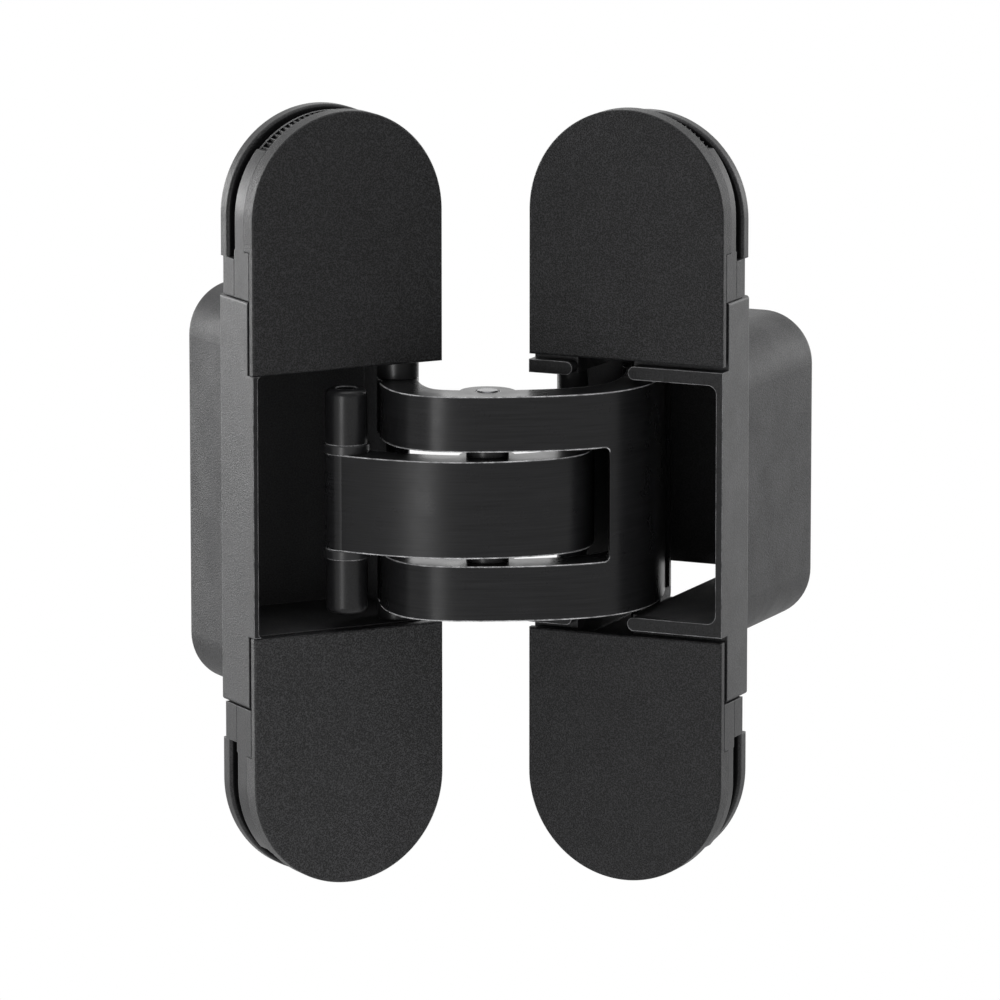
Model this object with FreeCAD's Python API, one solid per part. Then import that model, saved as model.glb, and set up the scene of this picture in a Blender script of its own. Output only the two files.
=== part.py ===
"""Concealed door hinge, adjustable in three directions, shown with the door about 128 degrees open.

Millimetres, +Z up. The frame leaf is square to the axes: its visible face looks along -Y and its
outer edge is at -X. The origin is the middle of the frame leaf's four fixing holes, on the plane
where its end plates seat in the door frame.
"""
import FreeCAD, Part
import math
import os
from dataclasses import dataclass

V = FreeCAD.Vector
X_AXIS = V(1, 0, 0)
Y_AXIS = V(0, 1, 0)
Z_AXIS = V(0, 0, 1)
ORIGIN = V(0, 0, 0)

# Leaf outline
LEAF_W = 30.0
LEAF_H = 111.5
HALF_W = LEAF_W / 2
HALF_H = LEAF_H / 2
RUN_GAP = 0.1               # between pieces that lie against each other
LAP = 1.0                   # how far joined shapes run into each other and cuts run past a face
SLIGHT = 1e-6               # a length that counts as none

# Arms
ARM_HALF_H = 16.15
NOTCH_HALF_H = 8.2
CENTRE_ARM_HALF_H = 6.95
ARM_HALF_T = 2.8
CENTRE_BOSS_R = 4.0
PIVOT_BOSS_R = 3.0
ROLLER_BOSS_R = 3.5
NOTCH_EDGE_X = 17.3         # right of the centre pin, on the bisector
NOTCH_STEP_Y = 2.4
NOTCH_CORNER_R = 0.8
SWING_CLEAR = 0.35
RELIEF_STOPS = (1.0, 0.7, 0.4)  # parts of the way to fully open at which reliefs are cut

# Routes of the arms' middle lines: right of the centre pin, and behind it
FORK_ROUTE = ((-11.9, 5.0), (-9.0, -0.5), (-3.0, -2.1), (4.0, -2.0), (11.0, -0.9), (16.6, 1.6),
              (20.4, 6.0), (22.5, 12.0))
CENTRE_ROUTE = ((-12.5, -0.9), (-4.0, -2.9), (4.4, -1.9), (10.9, 1.6), (12.6, 7.0))

# Linkage, in a leaf's own coordinates: distance from its outer edge, depth behind its face
REST_OPENING = 128.0        # degrees between the leaves' faces as shown
FULL_OPENING = 180.0
CLOSED_GAP = 3.5
PIVOT_FROM_EDGE = 25.6
PIVOT_DEPTH = 5.5
CENTRE_FROM_EDGE = 31.3
CENTRE_PROUD = 11.3
FRONT_PIN_FROM_EDGE = 14.8
FRONT_PIN_DEPTH = 0.4
ROLLER_FROM_EDGE = 19.4
ROLLER_DEPTH = 18.0

# Pins, sleeves, washers and rollers
CENTRE_PIN_R = 1.7
PIVOT_PIN_R = 1.7
FRONT_PIN_R = 1.5
ROLLER_PIN_R = 1.6
PIN_CHAMFER = 0.3
SLEEVE_R = 3.0
SLEEVE_DOME_R = 0.9
WASHER_R = 3.3
HUB_R = 3.05
ROLLER_R = 2.2
SPACER_R = 2.2
SHAFT_CLEAR = 0.04
WASHER_GAP = 0.03
PIN_SOCKET = 4.0            # depth of the pivot pins' seats in the casing's walls
TROUGH_DEPTH = 4.2
TROUGH_FROM_EDGE = 14.6
TROUGH_W = 8.7
BACK_BRIDGE_SHORT = 1.4     # how far the back wall stops short of the pocket's end at the trough

# Covers and slides
COVER_D = 2.8
COVER_SKIN = 1.2
COVER_WALL = 1.2
COVER_EDGE_R = 0.35
SKIRT_LAP = 0.4             # how far the skirt runs into the cover's skin
FOOT_H = 5.5                # from the panel's end to the end plate's full width
SLIDE_FOOT_H = 6.9
SLIDE_FOOT_FRONT_D = 1.4
SLIDE_FROM_TOP = 5.35
SHIM_T = 0.4
SHIM_INSET = 0.5
TONGUE_HALF_W = 5.5
TONGUE_FROM_TOP = 7.75
TONGUE_GAP = 0.15
PLATE_EDGE_R = 0.6
TOOTH_PITCH = 0.85
TOOTH_DEPTH = 0.55
TOOTH_INSET = 0.45
TOOTH_ARC = 62.0            # degrees each side of the top that carry teeth
TOOTH_FRONT_D = 3.1

# Fixing and clamping, heights measured from the leaf's end or from the panel's end
FIX_HOLE_R = 2.25
FIX_HOLE_X = 8.5
FIX_FROM_TOP = 11.75
FIX_ACCESS_R = 4.4
CLAMP_FROM_TOP = (16.25, 10.75)
CLAMP_SHANK_R = 1.75
CLAMP_HEAD_R = 3.2
CLAMP_HEAD_H = 1.5
CLAMP_TRAVEL = 1.5
CLAMP_BITE = 0.7            # how far the screw stops short of the end plate's back
FOOT_SCREW_H = 3.2
CLIP_X = 11.2
CLIP_R = 1.1
CLIP_LENGTH = 2.0
ADJUSTER_R = 2.6
ADJUSTER_SHANK_R = 1.55
ADJUSTER_HEAD_SHARE = 0.7   # of the screw's length
SOCKET_SHARE = 0.7          # depth of a screw's socket, of its head's height
SCREW_CLEAR = 0.1

# Casings
REAR_INSET = 0.5
REAR_CORNER_R = 7.5
BACK_WALL = 1.2
REAR_SIDE_WALL = 0.7
PANEL_EDGE_R = 0.5


@dataclass(frozen=True)
class Leaf:
    """Sizes in which the frame leaf and the door leaf differ. Depths count from the face."""

    name: str
    slide_back: float
    plate_front: float
    plate_back: float
    plate_short: float      # how far the end plate stops short of the cover's end
    foot_front: float
    foot_back: float
    panel_front: float
    panel_set_back: float
    panel_back: float
    panel_half_h: float
    pocket_gap: float       # from the arms to the pocket's upper and lower walls
    rim_h: float            # height of the rim above the pocket
    cover_gap: float        # from the rim to the cover
    pocket_corner_r: float
    side_wall: float
    rear_half_h: float
    rear_edge_r: float
    depth: float

    @property
    def pocket_half_h(self):
        """Height of the pocket's upper wall."""
        return ARM_HALF_H + self.pocket_gap

    @property
    def rim_half_h(self):
        """Height of the rim's outer edge."""
        return self.pocket_half_h + self.rim_h

    @property
    def cover_start(self):
        """Height at which the cover begins."""
        return self.rim_half_h + self.cover_gap

    @property
    def foot_screw_z(self):
        """Height of the adjusting screw and the cover's clips."""
        return self.panel_half_h + FOOT_SCREW_H


FRAME = Leaf(
    name="frame", slide_back=5.7, plate_front=8.1, plate_back=10.8, plate_short=0.0,
    foot_front=6.1, foot_back=9.6, panel_front=0.2, panel_set_back=1.95, panel_back=10.6,
    panel_half_h=29.4, pocket_gap=2.65, rim_h=0.0, cover_gap=0.1,
    pocket_corner_r=0.6, side_wall=0.75, rear_half_h=29.2, rear_edge_r=1.0, depth=22.8)
DOOR = Leaf(
    name="door", slide_back=4.6, plate_front=7.2, plate_back=9.7, plate_short=1.0,
    foot_front=5.0, foot_back=8.0, panel_front=0.1, panel_set_back=2.3, panel_back=9.6,
    panel_half_h=28.9, pocket_gap=1.05, rim_h=1.9, cover_gap=0.75,
    pocket_corner_r=1.3, side_wall=1.0, rear_half_h=22.6, rear_edge_r=2.0, depth=36.2)

FACE_Y = -FRAME.plate_back  # the frame leaf's visible face


def box(x0, x1, y0, y1, z0, z1):
    """Solid block between two corners."""
    return Part.makeBox(x1 - x0, y1 - y0, z1 - z0, V(x0, y0, z0))


def post(radius, z0, z1, x=0.0, y=0.0):
    """Upright cylinder."""
    return Part.makeCylinder(radius, z1 - z0, V(x, y, z0), Z_AXIS)


def bolt(radius, y0, y1, x, z):
    """Cylinder that runs through a leaf's depth."""
    return Part.makeCylinder(radius, y1 - y0, V(x, y0, z), Y_AXIS)


def fused(shapes):
    """One clean solid from pieces that meet."""
    whole = shapes[0]
    for extra in shapes[1:]:
        whole = whole.fuse(extra)
    return whole.removeSplitter()


def through_depth(edges, y0, y1):
    """Extrude a closed outline in the leaf's face plane from one depth to another."""
    face = Part.Face(Part.Wire(edges))
    face.translate(V(0, y0, 0))
    return face.extrude(V(0, y1 - y0, 0))


def end_outline(inset, z_start, z_stop=None, top=HALF_H):
    """Outline of a leaf's rounded upper end, cut flat at z_start and, if given, at z_stop."""
    half = HALF_W - inset
    centre_z = top - HALF_W
    left_foot = V(-half, 0, z_start)
    right_foot = V(half, 0, z_start)
    left = V(-half, 0, centre_z)
    right = V(half, 0, centre_z)
    edges = [Part.makeLine(right_foot, left_foot), Part.makeLine(left_foot, left),
             Part.makeLine(right, right_foot)]
    if z_stop is None:
        edges.append(Part.Arc(left, V(0, 0, centre_z + half), right).toShape())
        return Part.__sortEdges__(edges)
    reach = math.sqrt(half ** 2 - (z_stop - centre_z) ** 2)
    turn = math.atan2(z_stop - centre_z, reach) / 2
    for side in (-1, 1):
        middle = V(side * half * math.cos(turn), 0, centre_z + half * math.sin(turn))
        arc = Part.Arc(V(side * half, 0, centre_z), middle, V(side * reach, 0, z_stop))
        edges.append(arc.toShape())
    edges.append(Part.makeLine(V(-reach, 0, z_stop), V(reach, 0, z_stop)))
    return Part.__sortEdges__(edges)


def rounded_block(x0, x1, half_h, y0, y1, radius):
    """Block with rounded upright corners when seen from the front."""
    block = box(x0, x1, y0, y1, -half_h, half_h)
    corners = [edge for edge in block.Edges if abs(edge.BoundBox.YLength - (y1 - y0)) < SLIGHT]
    return block.makeFillet(radius, corners)


def turned(point, centre, degrees):
    """Turn a point about an upright axis through centre."""
    a = math.radians(degrees)
    dx = point.x - centre.x
    dy = point.y - centre.y
    x = centre.x + dx * math.cos(a) - dy * math.sin(a)
    y = centre.y + dx * math.sin(a) + dy * math.cos(a)
    return V(x, y, point.z)


def frame_point(from_edge, depth):
    """Point of the frame leaf, as a place in the model."""
    return V(from_edge - HALF_W, FACE_Y + depth, 0)


CENTRE = frame_point(CENTRE_FROM_EDGE, -CENTRE_PROUD)
FRAME_PIVOT = frame_point(PIVOT_FROM_EDGE, PIVOT_DEPTH)
FRONT_PIN = frame_point(FRONT_PIN_FROM_EDGE, FRONT_PIN_DEPTH)
BISECTOR_TURN = (REST_OPENING - 180.0) / 2


def door_point(from_edge, depth):
    """Point of the door leaf, which mirrors the frame leaf about the plane that bisects them."""
    offset = V(CENTRE_FROM_EDGE - from_edge, CENTRE_PROUD + depth, 0)
    placed = V(CENTRE.x + offset.x, CENTRE.y + offset.y, 0)
    return turned(placed, CENTRE, 2 * BISECTOR_TURN)


DOOR_PIVOT = door_point(PIVOT_FROM_EDGE, PIVOT_DEPTH)
ROLLER = door_point(ROLLER_FROM_EDGE, ROLLER_DEPTH)


def pivot_share():
    """Part of the door's turn that happens at each leaf's fixed pivot."""
    radius = math.hypot(CENTRE_FROM_EDGE - PIVOT_FROM_EDGE, CENTRE_PROUD + PIVOT_DEPTH)
    closed = math.pi - math.asin((CLOSED_GAP / 2 + PIVOT_DEPTH) / radius)
    rest = math.atan2(CENTRE_PROUD + PIVOT_DEPTH, CENTRE_FROM_EDGE - PIVOT_FROM_EDGE)
    return math.degrees(closed - rest) / REST_OPENING


PIVOT_SHARE = pivot_share()
CENTRE_SHARE = 1.0 - 2.0 * PIVOT_SHARE


def band(points, half_width, z0, z1):
    """Upright plate of even thickness that follows a smooth line through the points."""
    line = Part.BSplineCurve()
    line.interpolate(points)
    first, last = line.FirstParameter, line.LastParameter
    steps = 4 * (len(points) - 1)
    left = []
    right = []
    for step in range(steps + 1):
        parameter = first + (last - first) * step / steps
        tangent = line.tangent(parameter)[0]
        normal = V(-tangent.y, tangent.x, 0)
        middle = line.value(parameter)
        left.append(middle + normal * half_width)
        right.append(middle - normal * half_width)
    upper = Part.BSplineCurve()
    upper.interpolate(left)
    lower = Part.BSplineCurve()
    lower.interpolate(right)
    start_cap = points[0] - line.tangent(first)[0] * half_width
    end_cap = points[-1] + line.tangent(last)[0] * half_width
    edges = [upper.toShape(), Part.Arc(left[-1], end_cap, right[-1]).toShape()]
    edges += [lower.toShape(), Part.Arc(right[0], start_cap, left[0]).toShape()]
    face = Part.Face(Part.Wire(Part.__sortEdges__(edges)))
    face.translate(V(0, 0, z0))
    return face.extrude(V(0, 0, z1 - z0))


def from_bisector(x, y):
    """Point given right of the centre pin and behind it, seen along the bisecting plane."""
    return turned(V(CENTRE.x + x, CENTRE.y + y, 0), CENTRE, BISECTOR_TURN)


def clamp_heights():
    """Heights of one end's two clamping screws."""
    return [HALF_H - drop for drop in CLAMP_FROM_TOP]


def tongue_layer(leaf):
    """Depths between which the casing's end tongues lie."""
    front = leaf.slide_back + RUN_GAP + SHIM_T + RUN_GAP
    return FACE_Y + front, FACE_Y + leaf.plate_front - RUN_GAP


def casing(leaf):
    """Die-cast casing with its flange panel, open pocket and end tongues, outer edge at -X."""
    panel_back = FACE_Y + leaf.panel_back
    middle = box(-HALF_W, HALF_W, FACE_Y + leaf.panel_front, panel_back,
                 -leaf.rim_half_h, leaf.rim_half_h)
    panel = box(-HALF_W, HALF_W, FACE_Y + leaf.panel_set_back, panel_back,
                -leaf.panel_half_h, leaf.panel_half_h)
    outer = [edge for edge in panel.Edges
             if edge.BoundBox.XMax < PANEL_EDGE_R - HALF_W and edge.BoundBox.YLength > LAP]
    panel = panel.makeFillet(PANEL_EDGE_R, outer)
    rear = rounded_block(-HALF_W + REAR_INSET, HALF_W - REAR_INSET, leaf.rear_half_h,
                         panel_back - LAP, FACE_Y + leaf.depth, REAR_CORNER_R)
    rim = [edge for edge in rear.Edges if edge.BoundBox.YMin > FACE_Y + leaf.depth - SLIGHT]
    rear = rear.makeFillet(leaf.rear_edge_r, rim)
    tongue_top = HALF_H - TONGUE_FROM_TOP
    tongue = box(-TONGUE_HALF_W, TONGUE_HALF_W, *tongue_layer(leaf), -tongue_top, tongue_top)
    body = fused([middle, panel, rear, tongue])
    inner_x = HALF_W - REAR_INSET - BACK_WALL
    mouth = rounded_block(-HALF_W + leaf.side_wall, inner_x, leaf.pocket_half_h,
                          FACE_Y - LAP, panel_back - BACK_WALL, leaf.pocket_corner_r)
    pocket = rounded_block(-HALF_W + REAR_INSET + REAR_SIDE_WALL, inner_x, leaf.pocket_half_h,
                           FACE_Y - LAP, FACE_Y + leaf.depth - BACK_WALL, leaf.pocket_corner_r)
    open_side = box(inner_x - leaf.pocket_corner_r, HALF_W + LAP, FACE_Y - LAP, panel_back,
                    -leaf.pocket_half_h, leaf.pocket_half_h)
    body = body.cut(mouth).cut(pocket).cut(open_side)
    slot_half_w = CLAMP_SHANK_R + SCREW_CLEAR
    for z in clamp_heights():
        for side in (-1, 1):
            reach = CLAMP_TRAVEL + slot_half_w
            body = body.cut(box(-slot_half_w, slot_half_w, FACE_Y, FACE_Y + leaf.plate_back,
                                side * z - reach, side * z + reach))
    pin_top = leaf.pocket_half_h + PIN_SOCKET
    pivot = frame_point(PIVOT_FROM_EDGE, PIVOT_DEPTH)
    return body.cut(post(PIVOT_PIN_R + SHAFT_CLEAR, -pin_top, pin_top, pivot.x, pivot.y))


def door_casing():
    """Door side casing, in the frame leaf's position, with straight troughs for the rollers."""
    body = casing(DOOR)
    x0 = TROUGH_FROM_EDGE - HALF_W
    x1 = x0 + TROUGH_W
    top = DOOR.pocket_half_h + TROUGH_DEPTH
    back = FACE_Y + DOOR.depth
    trough = box(x0, x1, FACE_Y - LAP, back + LAP, -top, top)
    bridge_top = DOOR.pocket_half_h - BACK_BRIDGE_SHORT
    bridge = box(x0 - LAP, x1 + LAP, back - BACK_WALL, back + LAP, -bridge_top, bridge_top)
    body = body.cut(trough.cut(bridge))
    mouth_back = FACE_Y + DOOR.panel_set_back
    round_r = DOOR.rim_h / 2
    for side in (-1, 1):
        z = side * (DOOR.pocket_half_h + round_r)
        for x, reach in ((x0, -1), (x1, 1)):
            centre_x = x + reach * round_r
            end = box(min(x, centre_x), max(x, centre_x), FACE_Y, mouth_back,
                      z - round_r - SLIGHT, z + round_r + SLIGHT)
            body = body.cut(end.cut(bolt(round_r, FACE_Y, mouth_back, centre_x, z)))
    return body


def end_plate(leaf):
    """Upper end plate that screws to the frame or door."""
    front = FACE_Y + leaf.plate_front
    back = FACE_Y + leaf.plate_back
    foot_top = leaf.panel_half_h + FOOT_H
    plate = through_depth(end_outline(0.0, foot_top, top=HALF_H - leaf.plate_short), front, back)
    rounded = [edge for edge in plate.Edges
               if edge.BoundBox.YLength < SLIGHT and edge.BoundBox.ZLength > LAP]
    plate = plate.makeFillet(PLATE_EDGE_R, rounded)
    foot = box(-HALF_W, HALF_W, FACE_Y + leaf.foot_front, FACE_Y + leaf.foot_back,
               leaf.panel_half_h + RUN_GAP, foot_top)
    step = box(-HALF_W + PLATE_EDGE_R, HALF_W - PLATE_EDGE_R, front, FACE_Y + leaf.foot_back,
               foot_top - LAP, foot_top + LAP)
    body = fused([plate, foot, step])
    half_w = TONGUE_HALF_W + TONGUE_GAP
    body = body.cut(box(-half_w, half_w, FACE_Y, front, 0, HALF_H))
    for x in (-FIX_HOLE_X, FIX_HOLE_X):
        body = body.cut(bolt(FIX_HOLE_R, FACE_Y, back + LAP, x, HALF_H - FIX_FROM_TOP))
    for z in clamp_heights():
        body = body.cut(bolt(CLAMP_SHANK_R + SHAFT_CLEAR, FACE_Y,
                             back - CLAMP_BITE + RUN_GAP, 0, z))
    return body


def tooth_ring(leaf, z_start):
    """Fan of fine teeth round the top of a slide, which the cover leaves open to view."""
    centre_z = HALF_H - HALF_W
    tip_r = HALF_W - TOOTH_INSET
    half_arc = math.radians(TOOTH_ARC)
    count = int(2 * half_arc * tip_r / TOOTH_PITCH)
    points = []
    for index in range(2 * count + 1):
        radius = tip_r if index % 2 else tip_r - TOOTH_DEPTH
        angle = math.pi / 2 + half_arc - index * half_arc / count
        points.append(V(radius * math.cos(angle), 0, centre_z + radius * math.sin(angle)))
    points.append(V(points[-1].x, 0, z_start))
    points.append(V(points[0].x, 0, z_start))
    edges = Part.makePolygon(points + [points[0]]).Edges
    return through_depth(edges, FACE_Y + TOOTH_FRONT_D, FACE_Y + leaf.slide_back)


def end_slide(leaf):
    """Upper slide that clamps the casing's tongue to the end plate."""
    slide_top = HALF_H - SLIDE_FROM_TOP
    foot_top = leaf.panel_half_h + SLIDE_FOOT_H
    back = FACE_Y + leaf.slide_back
    body = through_depth(end_outline(0.0, foot_top, slide_top), FACE_Y + COVER_D, back)
    foot = box(-HALF_W, HALF_W, FACE_Y + SLIDE_FOOT_FRONT_D, FACE_Y + leaf.foot_front - RUN_GAP,
               leaf.panel_half_h + RUN_GAP, foot_top)
    body = fused([body, foot, tooth_ring(leaf, slide_top - LAP)])
    half_w = TONGUE_HALF_W + TONGUE_GAP
    body = body.cut(box(-half_w, half_w, back, FACE_Y + leaf.plate_back, 0, HALF_H))
    for x in (-FIX_HOLE_X, FIX_HOLE_X):
        body = body.cut(bolt(FIX_ACCESS_R, FACE_Y, back + LAP, x, HALF_H - FIX_FROM_TOP))
    for x in (-CLIP_X, CLIP_X):
        body = body.cut(bolt(CLIP_R + SCREW_CLEAR, FACE_Y,
                             FACE_Y + COVER_SKIN + CLIP_LENGTH + SCREW_CLEAR, x,
                             leaf.foot_screw_z))
    head_back = FACE_Y + COVER_D + CLAMP_HEAD_H + 2 * RUN_GAP
    for z in clamp_heights():
        body = body.cut(bolt(CLAMP_SHANK_R + SCREW_CLEAR, FACE_Y, back + LAP, 0, z))
        body = body.cut(bolt(CLAMP_HEAD_R + SCREW_CLEAR, FACE_Y, head_back, 0, z))
    return body.cut(bolt(ADJUSTER_R + SCREW_CLEAR, FACE_Y, back - RUN_GAP, 0, leaf.foot_screw_z))


def end_shim(leaf):
    """Thin upper plate between the slide and the tongue, its edge seen in the dark gap."""
    front = FACE_Y + leaf.slide_back + RUN_GAP
    start = leaf.panel_half_h + SLIDE_FOOT_H + RUN_GAP
    body = through_depth(end_outline(SHIM_INSET, start, top=HALF_H - leaf.plate_short),
                         front, front + SHIM_T)
    for x in (-FIX_HOLE_X, FIX_HOLE_X):
        body = body.cut(bolt(FIX_ACCESS_R, FACE_Y, front + LAP, x, HALF_H - FIX_FROM_TOP))
    for z in clamp_heights():
        body = body.cut(bolt(CLAMP_SHANK_R + SCREW_CLEAR, FACE_Y, front + LAP, 0, z))
    return body


def end_cover(leaf):
    """Upper cover, a thin shell with a skirt and two clips on its back."""
    inside = FACE_Y + COVER_SKIN - SKIRT_LAP
    shell = through_depth(end_outline(0.0, leaf.cover_start), FACE_Y, FACE_Y + COVER_SKIN)
    rim = [edge for edge in shell.Edges if edge.BoundBox.YMax < FACE_Y + SLIGHT]
    shell = shell.makeFillet(COVER_EDGE_R, rim)
    skirt_start = leaf.panel_half_h + SLIDE_FOOT_H + RUN_GAP
    outer = through_depth(end_outline(0.0, skirt_start), inside, FACE_Y + COVER_D - WASHER_GAP)
    inner = through_depth(end_outline(COVER_WALL, leaf.panel_half_h), FACE_Y, FACE_Y + COVER_D)
    body = shell.fuse(outer.cut(inner))
    for x in (-CLIP_X, CLIP_X):
        body = body.fuse(bolt(CLIP_R, inside, FACE_Y + COVER_SKIN + CLIP_LENGTH, x,
                              leaf.foot_screw_z))
    return body.removeSplitter()


def socket_screw(head_r, shank_r, y_head, head_h, y_end, x, z):
    """Screw with a round head and a six-sided socket, its head towards the visible face."""
    head = bolt(head_r, y_head, y_head + head_h, x, z)
    shank = bolt(shank_r, y_head + head_h - RUN_GAP, y_end, x, z)
    corner_r = head_r / 2
    corners = [V(x + corner_r * math.cos(math.radians(60 * i)), y_head,
                 z + corner_r * math.sin(math.radians(60 * i))) for i in range(7)]
    socket = Part.Face(Part.makePolygon(corners)).extrude(V(0, head_h * SOCKET_SHARE, 0))
    return fused([head, shank]).cut(socket)


def clamp_screws(leaf):
    """The two screws that clamp one slide."""
    y_head = FACE_Y + COVER_D + RUN_GAP
    y_end = FACE_Y + leaf.plate_back - CLAMP_BITE
    return [socket_screw(CLAMP_HEAD_R, CLAMP_SHANK_R, y_head, CLAMP_HEAD_H, y_end, 0, z)
            for z in clamp_heights()]


def adjuster(leaf):
    """Adjusting screw of one end, in the slide's foot."""
    y_head = FACE_Y + SLIDE_FOOT_FRONT_D + RUN_GAP
    y_end = FACE_Y + leaf.slide_back - 2 * RUN_GAP
    head_h = (y_end - y_head) * ADJUSTER_HEAD_SHARE
    return socket_screw(ADJUSTER_R, ADJUSTER_SHANK_R, y_head, head_h, y_end, 0,
                        leaf.foot_screw_z)


def fork_line():
    """Middle line of the forked arm, from the frame pivot to its rollers."""
    return [FRAME_PIVOT, *(from_bisector(*point) for point in FORK_ROUTE), ROLLER]


def centre_arm_line():
    """Middle line of the centre arm, from the front pin to the door pivot."""
    return [FRONT_PIN, *(from_bisector(*point) for point in CENTRE_ROUTE), DOOR_PIVOT]


def eye(shape, place, boss_r, hole_r, half_h):
    """Add a boss round a pin and bore it."""
    whole = shape.fuse(post(boss_r, -half_h, half_h, place.x, place.y))
    return whole.cut(post(hole_r, -half_h - LAP, half_h + LAP, place.x, place.y))


def notch():
    """Space between the prongs, with the sweep that the centre arm's eye needs."""
    far = LEAF_H
    slab = box(-far, NOTCH_EDGE_X, -far, far, -NOTCH_HALF_H, NOTCH_HALF_H)
    edges = [edge for edge in slab.Edges
             if edge.BoundBox.XMin > NOTCH_EDGE_X - SLIGHT and edge.BoundBox.YLength > LAP]
    slab = slab.makeFillet(NOTCH_CORNER_R, edges)
    reach = math.hypot(DOOR_PIVOT.x - CENTRE.x, DOOR_PIVOT.y - CENTRE.y)
    sweep = post(reach + PIVOT_BOSS_R + SWING_CLEAR, -NOTCH_HALF_H, NOTCH_HALF_H)
    sweep = sweep.common(box(0, far, NOTCH_STEP_Y, far, -NOTCH_HALF_H, NOTCH_HALF_H))
    space = slab.fuse(sweep)
    space.rotate(ORIGIN, Z_AXIS, BISECTOR_TURN)
    space.translate(CENTRE)
    return space


def reliefs():
    """Scallops that clear the door pivot's spacers and the sleeves when the door is fully open."""
    swing = (FULL_OPENING - REST_OPENING) * CENTRE_SHARE
    cuts = []
    for place, radius in ((DOOR_PIVOT, SPACER_R), (FRONT_PIN, SLEEVE_R)):
        spots = [turned(place, CENTRE, swing * part) for part in RELIEF_STOPS]
        cuts += [post(radius + SWING_CLEAR, -ARM_HALF_H - LAP, ARM_HALF_H + LAP, spot.x, spot.y)
                 for spot in spots]
    return cuts


def fork_arm():
    """Forked arm: two prongs on the frame side, one full-height bridge on the door side."""
    body = band(fork_line(), ARM_HALF_T, -ARM_HALF_H, ARM_HALF_H)
    for place, boss_r in ((CENTRE, CENTRE_BOSS_R), (FRAME_PIVOT, PIVOT_BOSS_R),
                          (ROLLER, ROLLER_BOSS_R)):
        body = body.fuse(post(boss_r, -ARM_HALF_H, ARM_HALF_H, place.x, place.y))
    body = body.removeSplitter().cut(notch())
    for relief in reliefs():
        body = body.cut(relief)
    for place, radius in ((CENTRE, CENTRE_PIN_R), (FRAME_PIVOT, PIVOT_PIN_R),
                          (ROLLER, ROLLER_PIN_R)):
        body = body.cut(post(radius + SHAFT_CLEAR, -ARM_HALF_H - LAP, ARM_HALF_H + LAP,
                             place.x, place.y))
    return body


def centre_arm():
    """Single arm that crosses between the prongs."""
    body = band(centre_arm_line(), ARM_HALF_T, -CENTRE_ARM_HALF_H, CENTRE_ARM_HALF_H)
    for place, boss_r, pin_r in ((CENTRE, CENTRE_BOSS_R, CENTRE_PIN_R),
                                 (FRONT_PIN, PIVOT_BOSS_R, FRONT_PIN_R),
                                 (DOOR_PIVOT, PIVOT_BOSS_R, PIVOT_PIN_R)):
        body = eye(body, place, boss_r, pin_r + SHAFT_CLEAR, CENTRE_ARM_HALF_H)
    return body.removeSplitter()


def pin(radius, half_length, place):
    """Plain pin with softened ends."""
    body = post(radius, -half_length, half_length, place.x, place.y)
    rims = [edge for edge in body.Edges if edge.BoundBox.ZLength < SLIGHT]
    return body.makeChamfer(PIN_CHAMFER, rims)


def ring(outer_r, inner_r, z0, z1, place):
    """Washer, sleeve or roller round a pin."""
    return post(outer_r, z0, z1, place.x, place.y).cut(
        post(inner_r, z0 - LAP, z1 + LAP, place.x, place.y))


def sleeve(z0, z1, place):
    """Sleeve on the front pin, with a domed free end."""
    free = z1 if z1 > 0 else z0
    whole = post(SLEEVE_R, z0, z1, place.x, place.y)
    rims = [edge for edge in whole.Edges
            if edge.BoundBox.ZLength < SLIGHT and abs(edge.BoundBox.ZMin - free) < SLIGHT]
    whole = whole.makeFillet(SLEEVE_DOME_R, rims)
    return whole.cut(post(FRONT_PIN_R + SHAFT_CLEAR, z0 - LAP, z1 + LAP, place.x, place.y))


def to_door(shape):
    """Place a piece modelled on the frame leaf as its mirror image on the door leaf."""
    placed = shape.mirror(V(CENTRE.x, 0, 0), X_AXIS)
    placed.rotate(CENTRE, Z_AXIS, 2 * BISECTOR_TURN)
    return placed


def leaf_pieces(leaf, place):
    """End plates, slides, shims, covers and screws of one leaf."""
    pieces = {}
    for label, maker in (("plate", end_plate), ("slide", end_slide), ("shim", end_shim),
                         ("cover", end_cover), ("adjuster", adjuster)):
        upper = place(maker(leaf))
        pieces[f"{leaf.name}_upper_{label}"] = upper
        pieces[f"{leaf.name}_lower_{label}"] = upper.mirror(ORIGIN, Z_AXIS)
    screws = [place(screw) for screw in clamp_screws(leaf)]
    screws += [screw.mirror(ORIGIN, Z_AXIS) for screw in screws]
    pieces[f"{leaf.name}_clamp_screws"] = Part.makeCompound(screws)
    return pieces


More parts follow.
